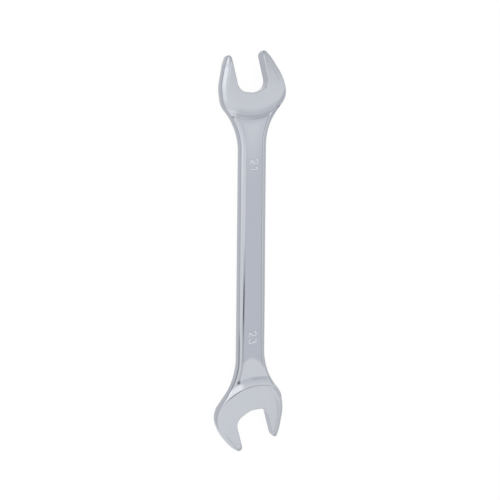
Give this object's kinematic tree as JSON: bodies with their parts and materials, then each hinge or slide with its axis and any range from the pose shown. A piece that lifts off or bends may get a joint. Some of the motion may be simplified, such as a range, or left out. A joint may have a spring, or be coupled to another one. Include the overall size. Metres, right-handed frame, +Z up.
{
  "type": "open end wrench",
  "caption": "Flat forged wrench with an open jaw at each end, turned 15 degrees from a shank with a sunk panel, for turning hexagon nuts and bolt heads.",
  "frame": {"origin": "under the middle of the outline's box, on the surface that the wrench lies on", "axes": "+X along the shank towards the small jaw, +Y across it, +Z up, square to the flat faces"},
  "size_m": [0.2504, 0.0478, 0.0072],
  "materials": {
    "chrome_plate": "satin polished chrome plating on forged steel"
  },
  "bodies": {
    "root": {"forged_body": "chrome_plate"}
  },
  "joints": []
}
